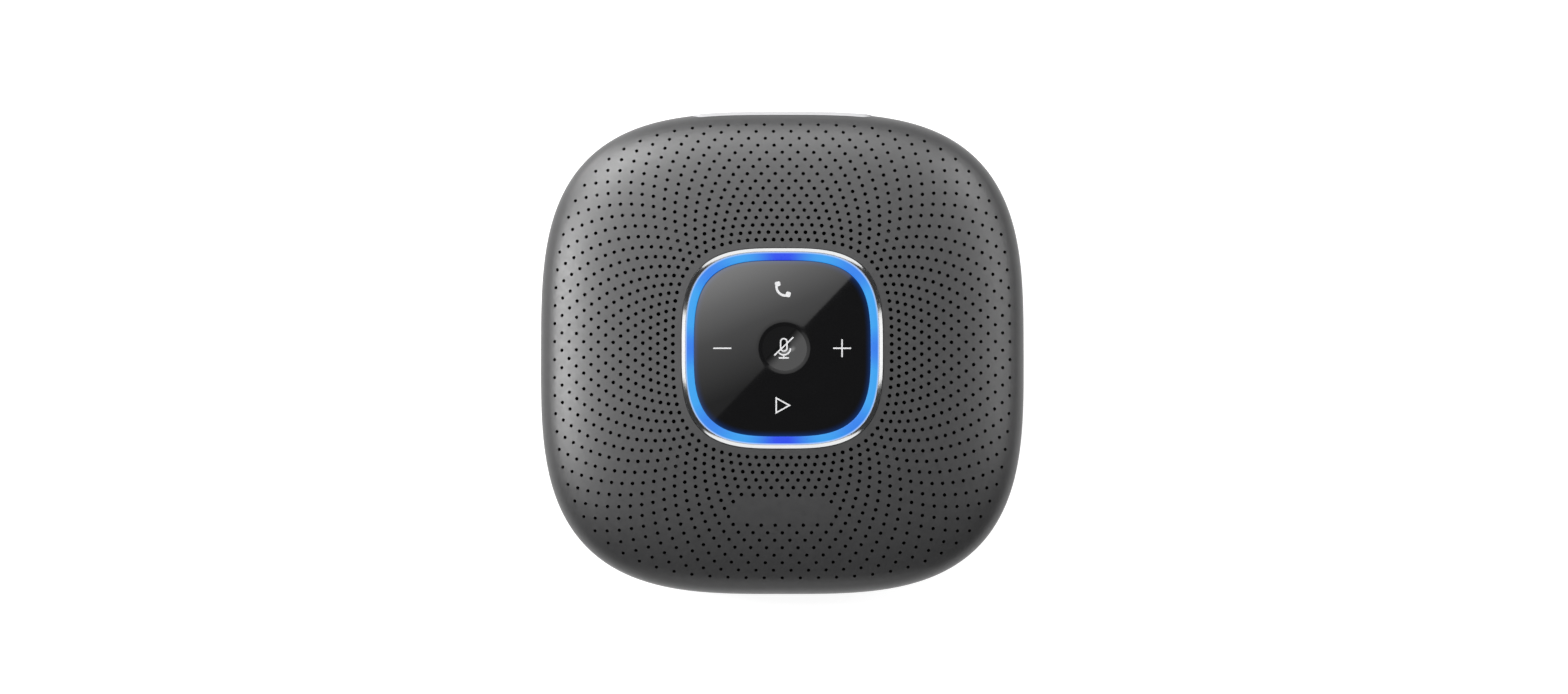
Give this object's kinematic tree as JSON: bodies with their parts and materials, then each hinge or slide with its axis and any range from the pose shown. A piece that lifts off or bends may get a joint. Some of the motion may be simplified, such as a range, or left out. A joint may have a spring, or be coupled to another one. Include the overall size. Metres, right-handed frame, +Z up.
{
  "type": "conference speakerphone",
  "caption": "Flat desk speakerphone with a rounded-square perforated dome, a glossy touch panel inside a lit ring, a rear port panel and a side port cover.",
  "frame": {"origin": "centre of the underside, on the table", "axes": "+Z up, +Y towards the port panel on the rear, +X towards the side port cover"},
  "size_m": [0.122, 0.122, 0.03],
  "materials": {
    "graphite_shell": "fine satin moulded plastic",
    "button_plastic": "satin moulded keys with white printed symbols",
    "dark_plastic": "fine matt moulded plastic",
    "acoustic_cloth": "fine black woven lining",
    "bezel_chrome": "polished plating",
    "light_diffuser": "translucent diffuser lit blue from behind",
    "lens_gloss": "polished black with thin white symbols",
    "circuit_board": "green solder mask",
    "led_package": "white package",
    "ribbon_film": "amber film",
    "port_trim_metal": "satin",
    "foot_rubber": "matt silicone rubber",
    "screw_steel": "dark plated steel",
    "socket_steel": "formed sheet steel",
    "battery_wrap": "shrink sleeve",
    "magnet_iron": "dark plated",
    "cone_paper": "pressed pulp",
    "coil_copper": "enamelled winding",
    "gasket_foam": "closed-cell foam"
  },
  "bodies": {
    "root": {"upper_housing": "graphite_shell", "lower_housing": "graphite_shell", "base_plate": "dark_plastic", "panel_carrier": "dark_plastic", "rear_port_panel": "dark_plastic", "side_port_plate": "dark_plastic", "aux_jack": "dark_plastic", "battery_cradle": "dark_plastic", "speaker_chamber": "dark_plastic", "speaker_frame": "dark_plastic", "grille_cloth": "acoustic_cloth", "panel_bezel": "bezel_chrome", "light_ring": "light_diffuser", "control_lens": "lens_gloss", "touch_board": "circuit_board", "main_board": "circuit_board", "ring_led_1": "led_package", "ring_led_2": "led_package", "ring_led_3": "led_package", "ring_led_4": "led_package", "ring_led_5": "led_package", "ring_led_6": "led_package", "ring_led_7": "led_package", "ring_led_8": "led_package", "ribbon_cable": "ribbon_film", "rear_port_trim": "port_trim_metal", "foot_ring": "foot_rubber", "speaker_surround": "foot_rubber", "mic_boot_1": "foot_rubber", "mic_boot_2": "foot_rubber", "mic_boot_3": "foot_rubber", "mic_boot_4": "foot_rubber", "mic_boot_5": "foot_rubber", "mic_boot_6": "foot_rubber", "housing_screw_1": "screw_steel", "housing_screw_2": "screw_steel", "housing_screw_3": "screw_steel", "housing_screw_4": "screw_steel", "shield_can": "socket_steel", "usb_c_receptacle": "socket_steel", "usb_a_receptacle": "socket_steel", "power_switch": "socket_steel", "bluetooth_switch": "socket_steel", "microphone_1": "socket_steel", "microphone_2": "socket_steel", "microphone_3": "socket_steel", "microphone_4": "socket_steel", "microphone_5": "socket_steel", "microphone_6": "socket_steel", "battery_cell_front": "battery_wrap", "battery_cell_left": "battery_wrap", "speaker_magnet": "magnet_iron", "speaker_gasket": "gasket_foam"},
    "power_key": {"power_button": "button_plastic", "power_plunger": "dark_plastic"},
    "bluetooth_key": {"bluetooth_button": "button_plastic", "bluetooth_plunger": "dark_plastic"},
    "flap": {"port_flap": "foot_rubber"},
    "cone": {"speaker_cone": "cone_paper", "voice_coil": "coil_copper"}
  },
  "joints": [
    {"name": "power_press", "type": "slide", "parent": "root", "child": "power_key", "axis": [0, -1, 0], "range_m": [0, 0.0003], "stiffness_N_per_m": 4000},
    {"name": "bluetooth_press", "type": "slide", "parent": "root", "child": "bluetooth_key", "axis": [0, -1, 0], "range_m": [0, 0.0003], "stiffness_N_per_m": 4000},
    {"name": "flap_hinge", "type": "hinge", "parent": "root", "child": "flap", "pos_m": [0.05668, 0, 0.0049], "axis": [0, 1, 0], "range_deg": [0, 110]},
    {"name": "cone_travel", "type": "slide", "parent": "root", "child": "cone", "axis": [0, 0, 1], "range_m": [-0.001, 0.001], "stiffness_N_per_m": 1200, "deforming": ["speaker_surround"]}
  ]
}
